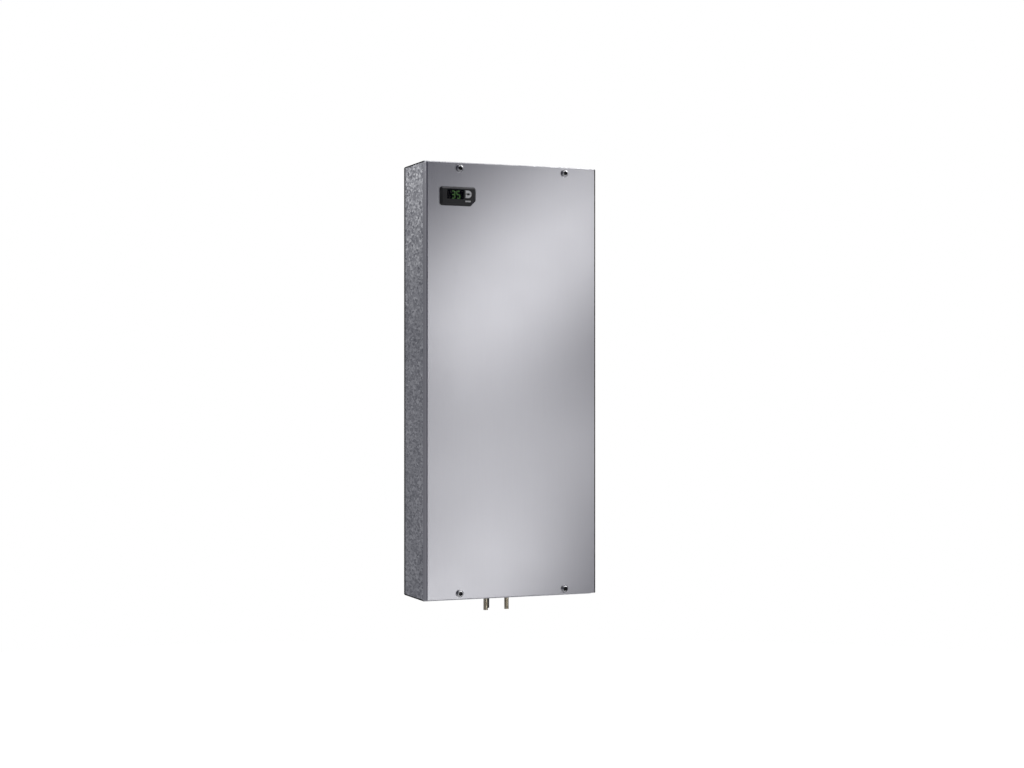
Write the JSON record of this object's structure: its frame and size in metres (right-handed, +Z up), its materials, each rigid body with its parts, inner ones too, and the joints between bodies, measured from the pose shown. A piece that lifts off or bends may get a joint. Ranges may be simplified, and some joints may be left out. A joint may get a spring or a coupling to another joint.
{
  "type": "wall-mounted air/water heat exchanger",
  "caption": "Tall flat cooling unit for the outside of an enclosure: galvanised casing, satin stainless cover with a small controller, fan, water coil and stubs below.",
  "frame": {"origin": "middle of the rear face of the back panel, which is the middle of the four corner mounting nuts", "axes": "+X to the right seen from the front, +Y out of the rear towards the enclosure, +Z up along the tall side"},
  "size_m": [0.4, 0.156, 0.9848],
  "materials": {
    "aluminium_slot": "mill finish",
    "bezel_plastic": "fine-grained black",
    "black_plastic": "moulded black",
    "board": "glass-epoxy board",
    "brass_slot": "drawn brass",
    "cable_sheath": "smooth sheath",
    "copper": "drawn copper",
    "foam": "closed-cell foam",
    "galvanised": "spangled hot-dip galvanised sheet",
    "guard_wire": "plated wire",
    "impeller_plastic": "glass-filled, dark grey",
    "key_light": "silver lacquer",
    "key_silver": "silver lacquer",
    "led_green": "lit segments",
    "motor_steel": "black paint",
    "nozzle_plastic": "moulded",
    "rubber_slot": "moulded rubber",
    "stainless": "fine satin ground stainless sheet",
    "terminal_plastic": "moulded grey",
    "window_tint": "smoked clear sheet",
    "zinc_steel": "bright zinc"
  },
  "bodies": {
    "casing": {"air_baffle": "galvanised", "back_panel": "galvanised", "bleed_valve_body": "brass_slot", "cable_clips": "black_plastic", "cable_grommet": "rubber_slot", "casing_wrapper": "galvanised", "coil_end_plate_left": "galvanised", "coil_end_plate_right": "galvanised", "coil_fins": "aluminium_slot", "coil_return_bends": "copper", "coil_tubes": "copper", "condensate_tray": "aluminium_slot", "controller_bezel": "bezel_plastic", "controller_case": "black_plastic", "controller_clips": "black_plastic", "controller_seal": "rubber_slot", "cover_gasket": "foam", "cover_rivet_nuts": "zinc_steel", "cover_screws": "zinc_steel", "cover_spacers": "zinc_steel", "cover_washers": "zinc_steel", "display_board": "board", "display_module": "black_plastic", "display_segments": "led_green", "display_window": "window_tint", "drain_pipe": "black_plastic", "fan_bearings": "zinc_steel", "fan_bracket": "galvanised", "fan_guard": "guard_wire", "fan_screws": "zinc_steel", "fan_stator": "motor_steel", "feed_pipe": "copper", "front_cover": "stainless", "inlet_nozzle": "nozzle_plastic", "key_switches": "black_plastic", "mounting_gasket": "foam", "mounting_rivet_nuts": "zinc_steel", "pipe_grommets": "rubber_slot", "rivets": "aluminium_slot", "sensor_clip": "black_plastic", "temperature_sensor": "zinc_steel", "terminal_block": "terminal_plastic", "union_nuts": "brass_slot", "valve_body": "brass_slot", "valve_coil": "black_plastic", "valve_nut": "zinc_steel", "valve_plug": "black_plastic", "valve_spring": "zinc_steel", "valve_tube": "zinc_steel", "water_inlet_pipe": "brass_slot", "water_outlet_pipe": "brass_slot", "wiring": "cable_sheath"},
    "fan_rotor": {"fan_shaft": "zinc_steel", "rotor_cup": "motor_steel", "impeller": "impeller_plastic"},
    "key_up": {"key_up": "key_silver"},
    "key_down": {"key_down": "key_silver"},
    "key_set": {"key_set": "key_light"},
    "valve_plunger": {"valve_plunger": "zinc_steel"},
    "bleed_screw": {"bleed_screw": "brass_slot"}
  },
  "joints": [
    {"name": "fan_spin", "type": "hinge", "parent": "casing", "child": "fan_rotor", "pos_m": [0, -0.067, 0.225], "axis": [0, 1, 0], "continuous": true},
    {"name": "key_up_press", "type": "slide", "parent": "casing", "child": "key_up", "axis": [0, 1, 0], "range_m": [0, 0.0006], "stiffness_N_per_m": 600, "springref_m": -0.0005},
    {"name": "key_down_press", "type": "slide", "parent": "casing", "child": "key_down", "axis": [0, 1, 0], "range_m": [0, 0.0006], "stiffness_N_per_m": 600, "springref_m": -0.0005},
    {"name": "key_set_press", "type": "slide", "parent": "casing", "child": "key_set", "axis": [0, 1, 0], "range_m": [0, 0.0006], "stiffness_N_per_m": 600, "springref_m": -0.0005},
    {"name": "valve_lift", "type": "slide", "parent": "casing", "child": "valve_plunger", "axis": [0, 0, 1], "range_m": [0, 0.003], "stiffness_N_per_m": 400, "springref_m": -0.002, "deforming": ["valve_spring"]},
    {"name": "bleed_turn", "type": "hinge", "parent": "casing", "child": "bleed_screw", "pos_m": [0.182, -0.072, -0.01], "axis": [0, 0, 1], "range_deg": [0, 180]}
  ]
}
